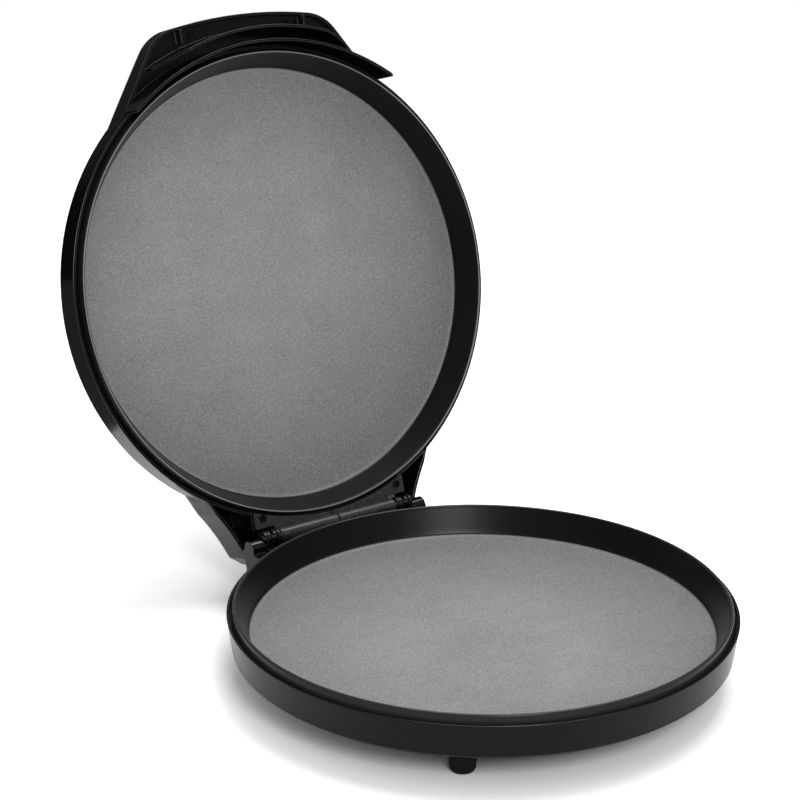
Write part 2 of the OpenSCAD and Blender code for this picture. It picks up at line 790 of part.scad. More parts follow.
module tier_wall(r, half, from) {
    intersection() {
        difference() {
            translate([0, 0, from]) cylinder(h = liner_floor - from + eps, r = r + liner_t);
            translate([0, 0, from - eps]) cylinder(h = liner_floor - from + 4 * eps, r = r);
        }
        translate([-half, -2 * handle_reach, from - 1])
            cube([2 * half, 2 * handle_reach - liner_from, dome_depth]);
    }
}

module handle_liner() {
    color(black) at_lid() difference() {
        union() {
            translate([0, 0, liner_floor]) linear_extrude(liner_t) intersection() {
                handle_outline(wall + liner_gap);
                translate(front_centre) circle(r = handle_front_r - wall - liner_gap, $fn = 720);
                difference() {
                    translate([-skirt_x, -2 * handle_reach])
                        square([2 * skirt_x, 2 * handle_reach - liner_from]);
                    circle(r = casing_r + skirt_gap);
                }
            }
            difference() {
                tier_wall(casing_r + skirt_gap, skirt_x, -skirt_reach);
                translate([0, 0, handle_rim - liner_gap]) linear_extrude(through) difference() {
                    square(4 * lip_r, center = true);
                    handle_outline(wall + liner_gap);
                }
            }
            difference() {
                tier_wall(tier_r, tier_x, -tier_reach);
                both_sides() translate([tier_flat_x, -2 * handle_reach, -tier_reach - eps])
                    rotate([0, -atan((tier_reach + tier_side_depth) / (tier_x - tier_flat_x)), 0])
                        translate([0, 0, -through]) cube([through, 2 * handle_reach, through]);
            }
            for (x = [-liner_rib_x, liner_rib_x])
                translate([x - liner_t / 2, front_at(x) + wall + liner_gap, liner_rib_z])
                    cube([liner_t, liner_rib_l, liner_floor - liner_rib_z + eps]);
            liner_screw_places() translate([0, 0, liner_floor]) cylinder(h = liner_t, r = 4);
        }
        liner_screw_places() cylinder(h = through, r = screw_r + 0.2);
    }
}

module liner_screws() {
    color("dimgray") at_lid() liner_screw_places() translate([0, 0, liner_floor])
        screw(liner_t + screw_bite - wall / 2);
}

module upper_pan() {
    at_lid() {
        pan();
        color(coating) ring_of(stud_angles, stud_ring) translate([0, 0, pan_depth + pan_t / 2])
            cylinder(h = lid_stud_end - pan_depth - pan_t / 2, r = stud_r);
    }
}

module upper_element() {
    at_lid() element();
}

module upper_reflector() {
    at_lid() reflector(lid_reflector_z);
}

module lamp_places() {
    for (side = [-1, 1]) translate([side * lamp_pitch / 2, lamp_y, 0]) children();
}

module lamp_posts() {
    for (side = [-1, 1]) translate([side * (lamp_pitch / 2 + lamp_r * 3), lamp_y, lamp_seat])
        cylinder(h = lamp_top - wall - lamp_seat, r = wall);
}

module lamp(side, tint) {
    color(tint) at_lid() translate([side * lamp_pitch / 2, lamp_y, 0]) {
        translate([0, 0, lamp_seat]) cylinder(h = lamp_top - lamp_seat, r = lamp_r);
        translate([0, 0, lamp_seat]) cylinder(h = lamp_r / 2, r = lamp_r * 1.4);
    }
}

module lamp_holder() {
    color("white") at_lid()
        translate([-lamp_pitch / 2 - lamp_r * 4, lamp_y - lamp_r * 1.2, lamp_seat - lamp_plate_t])
            cube([lamp_pitch + lamp_r * 8, lamp_r * 2.4, lamp_plate_t]);
}

module power_lamp() {
    lamp(-1, "red");
}

module ready_lamp() {
    lamp(1, "lime");
}

base_shell();
bottom_cover();
bottom_cover_screws();
lower_pan();
lower_pan_screws();
lower_element();
lower_reflector();
thermostat();
thermal_fuse();
terminal_block();
cord_gland();
foot(-1, true);  // foot_front_left
foot(1, true);  // foot_front_right
foot(-1, false);  // foot_rear_left
foot(1, false);  // foot_rear_right
at_base() mirror([1, 0, 0]) hinge_bracket();  // hinge_bracket_left
at_base() hinge_bracket();  // hinge_bracket_right
bracket_screws();
at_base() mirror([1, 0, 0]) hinge_pin();  // hinge_pin_left
at_base() hinge_pin();  // hinge_pin_right
lid_shell();
handle_liner();
liner_screws();
upper_pan();
upper_element();
upper_reflector();
at_lid() mirror([1, 0, 0]) lid_hinge();  // lid_hinge_left
at_lid() lid_hinge();  // lid_hinge_right
lid_hinge_screws();
power_lamp();
ready_lamp();
lamp_holder();
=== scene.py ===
"""Dresses the open pizza maker: turned pans, hinge bushes, a finish on every piece and a plain studio."""
import json
import logging
import math
from dataclasses import dataclass, field
from enum import Enum

import bmesh
import bpy
from mathutils import Matrix, Vector


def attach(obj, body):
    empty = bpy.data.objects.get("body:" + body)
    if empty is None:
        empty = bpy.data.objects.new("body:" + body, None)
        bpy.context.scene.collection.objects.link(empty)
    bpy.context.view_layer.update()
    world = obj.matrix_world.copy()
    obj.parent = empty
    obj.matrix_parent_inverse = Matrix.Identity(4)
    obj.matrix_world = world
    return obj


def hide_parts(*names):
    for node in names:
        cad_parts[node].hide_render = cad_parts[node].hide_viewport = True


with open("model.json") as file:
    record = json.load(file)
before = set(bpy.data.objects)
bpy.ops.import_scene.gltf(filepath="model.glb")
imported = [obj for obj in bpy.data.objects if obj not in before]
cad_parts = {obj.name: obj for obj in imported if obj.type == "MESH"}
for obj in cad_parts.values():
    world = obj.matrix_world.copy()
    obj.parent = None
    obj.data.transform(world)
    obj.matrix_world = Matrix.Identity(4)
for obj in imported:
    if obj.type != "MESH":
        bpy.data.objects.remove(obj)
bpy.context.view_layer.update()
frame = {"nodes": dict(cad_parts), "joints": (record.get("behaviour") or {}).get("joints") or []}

MM = 0.001
log = logging.getLogger("pizza_maker")

Tree = bpy.types.NodeTree
Socket = bpy.types.NodeSocket
Point = tuple[float, float]


def linear(colour: str) -> tuple[float, float, float, float]:
    """Turns an sRGB hex colour into Blender's linear one.

    Args:
        colour: six hex digits after a hash sign.

    Returns:
        Red, green, blue and a full alpha.
    """
    parts = [int(colour[i:i + 2], 16) / 255 for i in (1, 3, 5)]
    red, green, blue = (p / 12.92 if p <= 0.04045 else ((p + 0.055) / 1.055) ** 2.4 for p in parts)
    return red, green, blue, 1.0


def add_node(tree: Tree, kind: str, settings: dict | None = None,
             links: dict | None = None) -> bpy.types.Node:
    """Adds one shader node.

    Args:
        tree: the node tree that takes it.
        kind: the node's type name.
        settings: attribute names or input names, with the value for each.
        links: input names or numbers, with the output socket that feeds each.

    Returns:
        The new node.
    """
    node = tree.nodes.new(kind)
    for name, value in (settings or {}).items():
        if isinstance(name, str) and hasattr(node, name):
            setattr(node, name, value)
        else:
            node.inputs[name].default_value = value
    for name, output in (links or {}).items():
        tree.links.new(output, node.inputs[name])
    return node


def relief(tree: Tree, height: Socket, depth_mm: float, strength: float, normal: Socket) -> Socket:
    """Adds a relief to a normal.

    Args:
        tree: the material's nodes.
        height: the pattern, 0 to 1.
        depth_mm: the real depth of the pattern.
        strength: how much of it shows.
        normal: the normal below it.

    Returns:
        The new normal.
    """
    return add_node(tree, "ShaderNodeBump", {"Distance": depth_mm * MM, "Strength": strength},
                    {"Height": height, "Normal": normal}).outputs["Normal"]


def noise(tree: Tree, where: Socket, grain_mm: float, detail: float = 2.0, contrast: float = 0.5) -> Socket:
    """Adds a noise of a real grain size.

    Args:
        tree: the material's nodes.
        where: coordinates in metres.
        grain_mm: the size of a grain.
        detail: octaves.
        contrast: weight of the finer octaves.

    Returns:
        The noise, 0 to 1.
    """
    settings = {"Scale": 1 / (grain_mm * MM), "Detail": detail, "Roughness": contrast}
    return add_node(tree, "ShaderNodeTexNoise", settings, {"Vector": where}).outputs["Fac"]


def spread(tree: Tree, value: Socket, source: Point, target: Point) -> Socket:
    """Maps a value from one range to another, held at both ends.

    Args:
        tree: the material's nodes.
        value: what comes in.
        source: the range it comes in.
        target: the range it leaves in.

    Returns:
        The mapped value.
    """
    settings = {"From Min": source[0], "From Max": source[1], "To Min": target[0], "To Max": target[1]}
    return add_node(tree, "ShaderNodeMapRange", settings, {"Value": value}).outputs["Result"]


def blend_colours(tree: Tree, factor: Socket, first: str | Socket, second: str | Socket) -> Socket:
    """Mixes two colours by a factor.

    Args:
        tree: the material's nodes.
        factor: 0 gives the first, 1 the second.
        first: a hex colour, or a socket that gives one.
        second: a hex colour, or a socket that gives one.

    Returns:
        The mixed colour.
    """
    mix = add_node(tree, "ShaderNodeMix", {"data_type": "RGBA"}, {0: factor})
    for index, colour in ((6, first), (7, second)):
        if isinstance(colour, str):
            mix.inputs[index].default_value = linear(colour)
        else:
            tree.links.new(colour, mix.inputs[index])
    return mix.outputs[2]


@dataclass(frozen=True)
class Finish:
    """A surface finish. Subclasses say what the real one is and how it was made."""

    slot: str
    colour: str
    roughness: float = 0.5
    metallic: float = 0.0
    ior: float = 1.5
    edge_mm: float = 0.4

    def build(self) -> bpy.types.Material:
        """Makes the material, with a softly rounded edge under its own grain.

        Returns:
            The finished material.
        """
        material = bpy.data.materials.new(self.slot)
        material.use_nodes = True
        tree = material.node_tree
        tree.nodes.clear()
        shader = add_node(tree, "ShaderNodeBsdfPrincipled", {
            "Base Color": linear(self.colour), "Roughness": self.roughness, "Metallic": self.metallic})
        if self.metallic == 0.0:
            shader.inputs["IOR"].default_value = self.ior
        where = add_node(tree, "ShaderNodeTexCoord").outputs["Object"]
        edge = add_node(tree, "ShaderNodeBevel", {"samples": 8, "Radius": self.edge_mm * MM})
        normal = self.grain(tree, shader, where, edge.outputs["Normal"])
        tree.links.new(normal, shader.inputs["Normal"])
        add_node(tree, "ShaderNodeOutputMaterial", links={"Surface": shader.outputs[0]})
        return material

    def grain(self, tree: Tree, shader: bpy.types.Node, where: Socket, normal: Socket) -> Socket:
        """Adds colour, roughness and relief to the shader; a plain finish has none.

        Args:
            tree: the material's nodes.
            shader: its principled shader.
            where: coordinates on the object, in metres.
            normal: the normal so far.

        Returns:
            The normal with the relief on it.
        """
        return normal


@dataclass(frozen=True)
class PolishedAbs(Finish):
    """ABS moulded in a polished tool: deep black, mirror-like, with a slow ripple in its reflections."""

    ripple_mm: float = 16.0
    ripple_depth_mm: float = 0.02
    haze_mm: float = 3.0
    # the lighter grey painted on the edges as a painted highlight
    highlight_colour: str = "#474748"

    def painted_edge_highlight(self, tree: Tree, rounded: Socket) -> Socket:
        """Paints a highlight on the edges as a lighter grey, found where the rounded normal leaves the face's
        own.

        Args:
            tree: the material's nodes.
            rounded: the normal with its edges rounded.

        Returns:
            The colour.
        """
        face = add_node(tree, "ShaderNodeNewGeometry").outputs["Normal"]
        along = add_node(tree, "ShaderNodeVectorMath", {"operation": "DOT_PRODUCT"}, {0: face, 1: rounded})
        edge = spread(tree, along.outputs["Value"], (0.985, 0.86), (0.0, 1.0))
        return blend_colours(tree, edge, self.colour, self.highlight_colour)

    def grain(self, tree: Tree, shader: bpy.types.Node, where: Socket, normal: Socket) -> Socket:
        """Adds the ripple that the cooling plastic leaves, faint handling marks in the gloss, and a painted
        highlight on the edges.

        Args:
            tree: the material's nodes.
            shader: its principled shader.
            where: coordinates on the object, in metres.
            normal: the normal so far.

        Returns:
            The normal with the ripple on it.
        """
        marks = noise(tree, where, self.haze_mm, 5.0, 0.65)
        # the base colour carries the painted highlight on the edges
        tree.links.new(self.painted_edge_highlight(tree, normal), shader.inputs["Base Color"])
        tree.links.new(spread(tree, marks, (0.35, 0.7), (self.roughness * 0.8, self.roughness * 1.4)),
                       shader.inputs["Roughness"])
        return relief(tree, noise(tree, where, self.ripple_mm, 1.0), self.ripple_depth_mm, 0.5, normal)


@dataclass(frozen=True)
class LidGloss(PolishedAbs):
    """The same polished ABS on the lid: one true dome on top, and wings that blend into the side."""

    crease: Point = (100.0 * MM, 130.0 * MM)
    reach_mm: float = 17.0
    blend_mm: float = 9.0
    to_lid: Matrix = field(default_factory=Matrix, compare=False)
    dome: tuple[float, float, float] = (0.0, 0.0, 0.0)
    crown: tuple[float, float, float] = (0.0, 0.0, 0.0)
    crown_mm: float = 22.0

    def blended(self, tree: Tree, where: Socket, normal: Socket) -> Socket:
        """Rounds the side walls widely along the line where each wing begins.

        Args:
            tree: the material's nodes.
            where: coordinates on the object, in metres.
            normal: the normal so far.

        Returns:
            The normal with the blend in it.
        """
        place, turn, _ = self.to_lid.decompose()
        local = add_node(tree, "ShaderNodeMapping", {
            "Location": place, "Rotation": turn.to_euler()}, {"Vector": where}).outputs["Vector"]
        flat = add_node(tree, "ShaderNodeVectorMath", {"operation": "MULTIPLY", 1: (1.0, 1.0, 0.0)},
                        {0: local})
        left, right = (add_node(tree, "ShaderNodeVectorMath", {
            "operation": "DISTANCE", 1: (side * self.crease[0], self.crease[1], 0.0)},
            {0: flat.outputs["Vector"]}).outputs["Value"] for side in (-1, 1))
        away = add_node(tree, "ShaderNodeMath", {"operation": "MINIMUM"}, {0: left, 1: right})
        near = spread(tree, away.outputs[0], (self.reach_mm * MM, self.reach_mm * MM * 0.45), (0.0, 1.0))
        own = add_node(tree, "ShaderNodeTexCoord").outputs["Normal"]
        axis = self.to_lid.to_3x3().transposed() @ Vector((0.0, 0.0, 1.0))
        rise = add_node(tree, "ShaderNodeVectorMath", {"operation": "DOT_PRODUCT", 1: axis}, {0: own})
        slope = add_node(tree, "ShaderNodeMath", {"operation": "ABSOLUTE"}, {0: rise.outputs["Value"]})
        upright = spread(tree, slope.outputs[0], (0.45, 0.25), (0.0, 1.0))
        share = add_node(tree, "ShaderNodeMath", {"operation": "MULTIPLY"}, {0: near, 1: upright})
        wide = add_node(tree, "ShaderNodeBevel", {"samples": 8, "Radius": self.blend_mm * MM})
        return add_node(tree, "ShaderNodeMix", {"data_type": "VECTOR"}, {
            0: share.outputs[0], 4: normal, 5: wide.outputs["Normal"]}).outputs[1]

    def domed(self, tree: Tree, where: Socket, normal: Socket) -> Socket:
        """Gives the top the even normals of a true dome, free of the mesh's rings.

        Args:
            tree: the material's nodes.
            where: coordinates on the object, in metres.
            normal: the normal so far.

        Returns:
            The normal with the dome in it.
        """
        out = add_node(tree, "ShaderNodeVectorMath", {"operation": "SUBTRACT", 1: self.dome}, {0: where})
        unit = add_node(tree, "ShaderNodeVectorMath", {"operation": "NORMALIZE"}, {0: out.outputs["Vector"]})
        true = add_node(tree, "ShaderNodeVectorTransform", {
            "vector_type": "NORMAL", "convert_from": "OBJECT", "convert_to": "WORLD"},
            {0: unit.outputs["Vector"]}).outputs["Vector"]
        along = add_node(tree, "ShaderNodeVectorMath", {"operation": "DOT_PRODUCT"}, {0: true, 1: normal})
        even = spread(tree, along.outputs["Value"], (0.99, 0.997), (0.0, 1.0))
        away = add_node(tree, "ShaderNodeVectorMath", {"operation": "DISTANCE", 1: self.crown}, {0: where})
        crown = self.crown_mm * MM
        middle = spread(tree, away.outputs["Value"], (crown, crown * 0.8), (0.0, 1.0))
        share = add_node(tree, "ShaderNodeMath", {"operation": "MAXIMUM"}, {0: even, 1: middle})
        return add_node(tree, "ShaderNodeMix", {"data_type": "VECTOR"}, {
            0: share.outputs[0], 4: normal, 5: true}).outputs[1]

    def grain(self, tree: Tree, shader: bpy.types.Node, where: Socket, normal: Socket) -> Socket:
        """Adds the blend and the dome to the polished ABS.

        Args:
            tree: the material's nodes.
            shader: its principled shader.
            where: coordinates on the object, in metres.
            normal: the normal so far.

        Returns:
            The normal with the blend, the dome and the ripple on it.
        """
        return super().grain(tree, shader, where, self.domed(tree, where, self.blended(tree, where, normal)))


@dataclass(frozen=True)
class SparkPlastic(Finish):
    """Plastic moulded in a spark-eroded tool: an even fine grain that keeps it satin."""

    pit_mm: float = 0.6
    pit_depth_mm: float = 0.03

    def grain(self, tree: Tree, shader: bpy.types.Node, where: Socket, normal: Socket) -> Socket:
        """Adds the eroded grain, drawn coarser than the real 0.1 mm so that it shows.

        Args:
            tree: the material's nodes.
            shader: its principled shader.
            where: coordinates on the object, in metres.
            normal: the normal so far.

        Returns:
            The normal with the grain on it.
        """
        pits = noise(tree, where, self.pit_mm, 3.0, 0.6)
        tree.links.new(spread(tree, pits, (0.3, 0.7), (self.roughness * 0.85, self.roughness * 1.15)),
                       shader.inputs["Roughness"])
        return relief(tree, pits, self.pit_depth_mm, 0.6, normal)


@dataclass(frozen=True)
class SprayedPtfe(Finish):
    """PTFE sprayed on aluminium and baked: a cloudy grey floor with light specks, a painted shade that
    darkens the floor towards one side and its edge, a wall painted near black as painted shade, and a rim and
    bead crest painted lighter as painted light.
    """

    cloud: str = "#8b8b8c"
    speck: str = "#c2c2c2"
    pit: str = "#626263"
    # the darker grey of the painted shade on the floor, towards its edge and one side
    shade_tone: str = "#717172"
    # the wall's near black is painted shade; the floor and the wall are one coat
    wall: str = "#0d0c0c"
    wall_roughness: float = 0.3
    # the rim's grey and the crest's lighter line are painted light: a lit band and a painted highlight line
    rim: str = "#2e2e2f"
    crest: str = "#3c3c3d"
    rim_roughness: float = 0.16
    floor_mm: float = 149.2
    rim_mm: float = 158.7
    crest_mm: float = 160.0
    centre: tuple[float, float, float] = (0.0, 0.0, 0.0)
    # the point off the pan's middle that the painted shade on the floor darkens away from
    shade_centre: tuple[float, float, float] = (0.0, 0.0, 0.0)
    cloud_mm: float = 46.0
    mottle_mm: float = 5.0
    speck_mm: float = 0.9

    def grain(self, tree: Tree, shader: bpy.types.Node, where: Socket, normal: Socket) -> Socket:
        """Adds the clouds of the sprayed coat, its specks, the painted shade towards one side and the floor's
        edge, the wall painted darker as painted shade, and the rim and crest painted lighter as painted
        light.

        The specks are drawn at about 1 mm; the real ones are 0.2 mm and would not show.

        Args:
            tree: the material's nodes.
            shader: its principled shader.
            where: coordinates on the object, in metres.
            normal: the normal so far.

        Returns:
            The normal with the orange peel and the specks on it.
        """
        clouds = spread(tree, noise(tree, where, self.cloud_mm, 5.0, 0.6), (0.33, 0.67), (0.0, 1.0))
        mottle = spread(tree, noise(tree, where, self.mottle_mm, 3.0, 0.6), (0.35, 0.65), (0.0, 0.35))
        specks = noise(tree, where, self.speck_mm, 2.0, 0.7)
        reach = add_node(tree, "ShaderNodeVectorMath", {"operation": "DISTANCE", 1: self.centre},
                         {0: where}).outputs["Value"]
        shade_reach = add_node(tree, "ShaderNodeVectorMath", {"operation": "DISTANCE", 1: self.shade_centre},
                         {0: where}).outputs["Value"]
        edge, bead, crest = self.floor_mm * MM, self.rim_mm * MM, self.crest_mm * MM
        floor = blend_colours(tree, clouds, self.cloud, self.colour)
        floor = blend_colours(tree, mottle, floor, self.cloud)
        # painted shade: the floor turns darker grey further from a point off the pan's middle
        painted_shade = spread(tree, shade_reach, (edge * 0.45, edge * 1.1), (0.0, 0.8))
        floor = blend_colours(tree, painted_shade, floor, self.shade_tone)
        floor = blend_colours(tree, spread(tree, specks, (0.5, 0.75), (0.0, 0.5)), floor, self.speck)
        floor = blend_colours(tree, spread(tree, specks, (0.48, 0.28), (0.0, 0.7)), floor, self.pit)
        inside = spread(tree, reach, (edge + 0.8 * MM, edge), (0.0, 1.0))
        outside = spread(tree, reach, (bead, bead + 0.4 * MM), (0.0, 1.0))
        # the wall is painted near black as painted shade, the rim band a lighter grey as painted light
        sides = blend_colours(tree, outside, self.wall, self.rim)
        rise = spread(tree, reach, (crest - 0.6 * MM, crest - 0.15 * MM), (0.0, 1.0))
        fall = spread(tree, reach, (crest + 0.6 * MM, crest + 0.15 * MM), (0.0, 1.0))
        # a thin lighter line along the bead crest, a painted highlight
        line = add_node(tree, "ShaderNodeMath", {"operation": "MINIMUM"}, {0: rise, 1: fall})
        sides = blend_colours(tree, line.outputs[0], sides, self.crest)
        tree.links.new(blend_colours(tree, inside, sides, floor), shader.inputs["Base Color"])
        smooth = spread(tree, outside, (0.0, 1.0), (self.wall_roughness, self.rim_roughness))
        rough = add_node(tree, "ShaderNodeMix", {"data_type": "FLOAT", 3: self.roughness},
                         {0: inside, 2: smooth})
        tree.links.new(rough.outputs[0], shader.inputs["Roughness"])
        return relief(tree, specks, 0.06, 0.4, normal)


@dataclass(frozen=True)
class TexturedPaint(Finish):
    """Epoxy powder baked on steel: a dull grey-black skin with a fine orange peel."""

    peel_mm: float = 1.4
    peel_depth_mm: float = 0.12
    thin: str = "#3f3f40"

    def grain(self, tree: Tree, shader: bpy.types.Node, where: Socket, normal: Socket) -> Socket:
        """Adds the orange peel of the baked powder and its lighter peaks.

        Args:
            tree: the material's nodes.
            shader: its principled shader.
            where: coordinates on the object, in metres.
            normal: the normal so far.

        Returns:
            The normal with the orange peel on it.
        """
        peel = noise(tree, where, self.peel_mm, 3.0, 0.55)
        tone = blend_colours(tree, spread(tree, peel, (0.42, 0.68), (0.0, 1.0)), self.colour, self.thin)
        tree.links.new(tone, shader.inputs["Base Color"])
        tree.links.new(spread(tree, peel, (0.3, 0.7), (self.roughness * 0.8, self.roughness * 1.2)),
                       shader.inputs["Roughness"])
        return relief(tree, peel, self.peel_depth_mm, 0.5, normal)


@dataclass(frozen=True)
class DrawnMetal(Finish):
    """Metal drawn or rolled through a tool: bright, with fine lines along one axis."""

    line_mm: float = 0.5
    along: tuple[float, float, float] = (0.02, 1.0, 1.0)

    def grain(self, tree: Tree, shader: bpy.types.Node, where: Socket, normal: Socket) -> Socket:
        """Adds the drawing lines, stretched along the axis the tool pulled.

        Args:
            tree: the material's nodes.
            shader: its principled shader.
            where: coordinates on the object, in metres.
            normal: the normal so far.

        Returns:
            The normal with the lines on it.
        """
        pulled = add_node(tree, "ShaderNodeVectorMath", {"operation": "MULTIPLY", 1: self.along}, {0: where})
        lines = noise(tree, pulled.outputs["Vector"], self.line_mm, 3.0, 0.6)
        tree.links.new(spread(tree, lines, (0.3, 0.7), (self.roughness * 0.8, self.roughness * 1.3)),
                       shader.inputs["Roughness"])
        return relief(tree, lines, 0.01, 0.4, normal)


@dataclass(frozen=True)
class AnnealedSteel(Finish):
    """Steel tube heated until it blues: dark, with straw and blue temper colours in patches."""

    temper: str = "#4a4038"
    patch_mm: float = 18.0

    def grain(self, tree: Tree, shader: bpy.types.Node, where: Socket, normal: Socket) -> Socket:
        """Adds the temper patches and the scale.

        Args:
            tree: the material's nodes.
            shader: its principled shader.
            where: coordinates on the object, in metres.
            normal: the normal so far.

        Returns:
            The normal with the scale on it.
        """
        patches = spread(tree, noise(tree, where, self.patch_mm, 4.0), (0.35, 0.65), (0.0, 1.0))
        tree.links.new(blend_colours(tree, patches, self.temper, self.colour), shader.inputs["Base Color"])
        return relief(tree, noise(tree, where, 0.6, 2.0), 0.02, 0.4, normal)


@dataclass(frozen=True)
class GlazedCeramic(Finish):
    """Steatite pressed and fired: off-white, softly shiny, with a few iron specks."""

    fleck: str = "#8d7f68"

    def grain(self, tree: Tree, shader: bpy.types.Node, where: Socket, normal: Socket) -> Socket:
        """Adds the specks.

        Args:
            tree: the material's nodes.
            shader: its principled shader.
            where: coordinates on the object, in metres.
            normal: the normal so far.

        Returns:
            The same normal.
        """
        flecks = spread(tree, noise(tree, where, 1.4, 2.0), (0.66, 0.72), (0.0, 1.0))
        tree.links.new(blend_colours(tree, flecks, self.colour, self.fleck), shader.inputs["Base Color"])
        return normal


@dataclass(frozen=True)
class WovenSleeve(Finish):
    """Glass-fibre sleeve: straw-coloured yarn woven round the fuse."""

    yarn_mm: float = 0.7

    def grain(self, tree: Tree, shader: bpy.types.Node, where: Socket, normal: Socket) -> Socket:
        """Adds the crossing yarns.

        Args:
            tree: the material's nodes.
            shader: its principled shader.
            where: coordinates on the object, in metres.
            normal: the normal so far.

        Returns:
            The normal with the yarns on it.
        """
        bands = [add_node(tree, "ShaderNodeTexWave", {
            "bands_direction": axis, "Scale": 1 / (self.yarn_mm * MM * 6)}, {"Vector": where}).outputs["Fac"]
            for axis in ("X", "Y")]
        weave = add_node(tree, "ShaderNodeMath", {"operation": "MAXIMUM"}, {0: bands[0], 1: bands[1]})
        return relief(tree, weave.outputs[0], 0.15, 0.8, normal)


@dataclass(frozen=True)
class TintedLens(Finish):
    """Clear polycarbonate dyed in the mass: a glossy jewel-like lens."""

    def grain(self, tree: Tree, shader: bpy.types.Node, where: Socket, normal: Socket) -> Socket:
        """Lets light through the dye and adds the prisms inside the lens.

        Args:
            tree: the material's nodes.
            shader: its principled shader.
            where: coordinates on the object, in metres.
            normal: the normal so far.

        Returns:
            The normal with the prisms on it.
        """
        shader.inputs["Transmission Weight"].default_value = 0.6
        return relief(tree, noise(tree, where, 1.2, 0.0), 0.1, 0.3, normal)


class Side(Enum):
    """The two halves of the cooker, by the body that carries each."""

    BASE = "base"
    LID = "lid"


@dataclass(frozen=True)
class Placement:
    """Where each half lies: a depth behind the plane of its pan's lip becomes a place in the frame."""

    hinge_back: float = 168.5 * MM
    hinge_drop: float = 3.2 * MM
    lip_gap: float = 3.0 * MM
    open_angle: float = 106.5

    def hinge(self) -> Vector:
        """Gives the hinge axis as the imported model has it."""
        return Vector(frame["joints"][0]["pos_m"])

    def matrix(self, side: Side) -> Matrix:
        """Turns a half's own coordinates into the frame's.

        Args:
            side: which half.

        Returns:
            The matrix; its third axis points into the casing.
        """
        hinge = self.hinge()
        if side is Side.BASE:
            return Matrix.Translation((0.0, hinge.y - self.hinge_back, hinge.z + self.hinge_drop)) \
                @ Matrix.Diagonal((1.0, 1.0, -1.0, 1.0))
        tilt = Matrix.Rotation(math.radians(-self.open_angle), 4, "X")
        axis_depth = self.lip_gap + self.hinge_drop
        return Matrix.Translation(hinge) @ tilt @ Matrix.Translation((0.0, -self.hinge_back, axis_depth))


def arc(centre: Point, radius: float, start: float, end: float, steps: int) -> list[Point]:
    """Lists points along an arc.

    Args:
        centre: its centre.
        radius: its radius.
        start: first angle in degrees.
        end: last angle in degrees.
        steps: number of pieces.

    Returns:
        The points, both ends with them.
    """
    angles = [math.radians(start + (end - start) * i / steps) for i in range(steps + 1)]
    return [(centre[0] + radius * math.cos(a), centre[1] + radius * math.sin(a)) for a in angles]


def curve(start: Point, corner: Point, end: Point, steps: int) -> list[Point]:
    """Lists points along a curve that leaves start towards corner and comes from corner to end.

    Args:
        start: first point.
        corner: where the two end tangents meet.
        end: last point.
        steps: number of pieces.

    Returns:
        The points, both ends with them.
    """
    points = []
    for i in range(steps + 1):
        t = i / steps
        points.append(tuple((1 - t) ** 2 * a + 2 * t * (1 - t) * b + t * t * c
                            for a, b, c in zip(start, corner, end)))
    return points


def turn(mesh: bmesh.types.BMesh, outline: list[Point], segments: int, place: Matrix) -> None:
    """Turns a closed outline round the third axis.

    Args:
        mesh: what the faces are added to.
        outline: radius and height of each point in metres; a radius of 0 stays one point.
        segments: number of pieces round the axis.
        place: where the turned piece goes.
    """
    rings = []
    for radius, height in outline:
        count = 1 if radius == 0.0 else segments
        angles = [2 * math.pi * i / segments for i in range(count)]
        rings.append([mesh.verts.new(place @ Vector((radius * math.cos(a), radius * math.sin(a), height)))
                      for a in angles])
    pairs = list(zip(rings, rings[1:]))
    if outline[0][0] != 0.0:
        pairs.append((rings[-1], rings[0]))
    for lower, upper in pairs:
        for i in range(segments):
            j = (i + 1) % segments
            corners = [lower[i % len(lower)], lower[j % len(lower)],
                       upper[j % len(upper)], upper[i % len(upper)]]
            corners = list(dict.fromkeys(corners))
            if len(corners) > 2:
                mesh.faces.new(corners)


def finish_piece(name: str, mesh: bmesh.types.BMesh, place: Matrix, finish: Finish,
                 body: str) -> bpy.types.Object:
    """Makes an object from a mesh, with its finish and the body it rides on.

    Args:
        name: the piece's name.
        mesh: its faces, in the half's own coordinates.
        place: the half's matrix.
        finish: what it is made of.
        body: the body that carries it.

    Returns:
        The new object.
    """
    mesh.transform(place)
    bmesh.ops.recalc_face_normals(mesh, faces=mesh.faces)
    data = bpy.data.meshes.new(name)
    mesh.to_mesh(data)
    mesh.free()
    data.shade_smooth()
    data.materials.append(finish.build())
    piece = bpy.data.objects.new(name, data)
    bpy.context.scene.collection.objects.link(piece)
    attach(piece, body)
    log.info("%s: %d faces", name, len(data.polygons))
    return piece


def dress_node(node: str, finish: Finish) -> None:
    """Puts a finish on a CAD node.

    Args:
        node: the node's name.
        finish: what it is made of.
    """
    mesh = frame["nodes"][node].data
    material = finish.build()
    if not mesh.materials:
        mesh.materials.append(material)
    for index in range(len(mesh.materials)):
        mesh.materials[index] = material
    log.info("%s: %s", node, type(finish).__name__)


